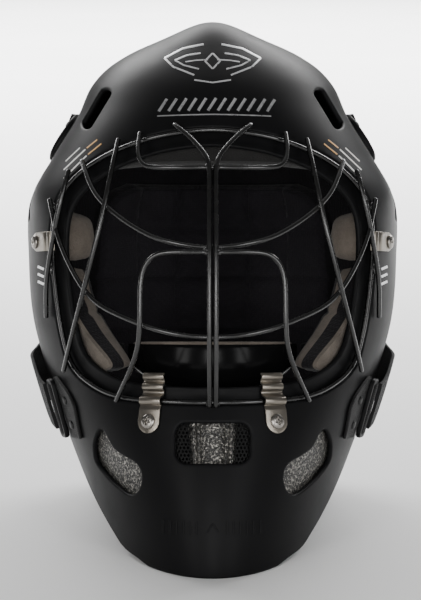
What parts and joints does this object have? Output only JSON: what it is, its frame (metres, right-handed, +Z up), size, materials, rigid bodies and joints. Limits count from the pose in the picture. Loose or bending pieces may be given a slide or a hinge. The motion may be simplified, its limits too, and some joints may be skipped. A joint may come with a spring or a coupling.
{
  "type": "floorball goalie mask",
  "caption": "Black moulded goalie mask with a welded wire cage, sprung back plate, foam padding, webbing straps and a swinging chin cup.",
  "frame": {"origin": "centre of the bounding box at the ground plane on which the mask stands", "axes": "+X to the right seen from the front, +Y from the face to the nape, +Z up; the face looks along -Y and leans back 10 degrees"},
  "size_m": [0.2544, 0.3298, 0.3343],
  "materials": {
    "back_plate_plastic": "matte black",
    "black_pad_fabric": "brushed black knit over foam",
    "buckle_plastic": "matte black",
    "cage_wire": "satin black powder coat",
    "clip_steel": "brushed stainless",
    "cup_plastic": "gloss black",
    "elastic_webbing": "black ribbed elastic",
    "laminated_foam": "grey-brown foam with a black knit face",
    "metallic_vinyl": "grained dark vinyl with a metallic fleck",
    "nut_steel": "zinc plated",
    "rivet_black": "black",
    "screw_steel": "stainless",
    "shell_plastic": "satin-matte black, fine moulded grain",
    "snap_metal": "nickel plated",
    "vent_mesh": "perforated black sheet",
    "webbing": "black woven webbing"
  },
  "bodies": {
    "shell": {"front_shell": "shell_plastic", "forehead_pad": "laminated_foam", "crown_pad": "black_pad_fabric", "temple_pad_left": "laminated_foam", "temple_pad_right": "laminated_foam", "cheek_pad_left": "laminated_foam", "cheek_pad_right": "laminated_foam", "jaw_pad_left": "metallic_vinyl", "jaw_pad_right": "metallic_vinyl", "chin_pad": "metallic_vinyl", "chin_vent_mesh": "vent_mesh", "chin_snap_studs": "snap_metal", "cage_rim_wire": "cage_wire", "cage_center_bar_left": "cage_wire", "cage_center_bar_right": "cage_wire", "cage_brow_loop": "cage_wire", "cage_diagonal_bar_left": "cage_wire", "cage_diagonal_bar_right": "cage_wire", "cage_outer_bar_left": "cage_wire", "cage_outer_bar_right": "cage_wire", "cage_upper_cross_bar": "cage_wire", "cage_lower_cross_bar": "cage_wire", "cage_lower_arch_left": "cage_wire", "cage_lower_arch_right": "cage_wire", "lower_clip_left": "clip_steel", "lower_clip_right": "clip_steel", "lower_clip_screws": "screw_steel", "lower_clip_tee_nuts": "nut_steel", "side_clip_left": "clip_steel", "side_clip_right": "clip_steel", "side_clip_screws": "screw_steel", "side_clip_tee_nuts": "nut_steel", "side_strap_loop_left": "buckle_plastic", "side_strap_loop_right": "buckle_plastic", "loop_tab_left": "webbing", "loop_tab_right": "webbing", "loop_tab_rivets": "rivet_black", "upper_strap_anchors": "buckle_plastic", "upper_strap_rivets": "rivet_black"},
    "back": {"back_plate": "back_plate_plastic", "nape_pad": "black_pad_fabric", "side_strap_left": "elastic_webbing", "side_strap_right": "elastic_webbing", "upper_strap_left": "elastic_webbing", "upper_strap_right": "elastic_webbing", "crown_strap": "elastic_webbing", "crown_strap_rivets": "rivet_black"},
    "chin": {"chin_cup": "cup_plastic", "chin_cup_foam": "laminated_foam", "chin_strap_left": "webbing", "chin_strap_right": "webbing", "chin_strap_snaps": "snap_metal"}
  },
  "joints": [
    {"name": "back_plate_hinge", "type": "hinge", "parent": "shell", "child": "back", "pos_m": [0, 0.09961, 0.3126], "axis": [1, 0, 0], "range_deg": [0, 12], "stiffness_Nm_per_rad": 12, "springref_deg": -8.59, "deforming": ["side_strap_left", "side_strap_right", "upper_strap_left", "upper_strap_right", "crown_strap"]},
    {"name": "chin_cup_swing", "type": "hinge", "parent": "shell", "child": "chin", "pos_m": [0, 0.04287, 0.11749], "axis": [1, 0, 0], "range_deg": [-8, 14]}
  ]
}
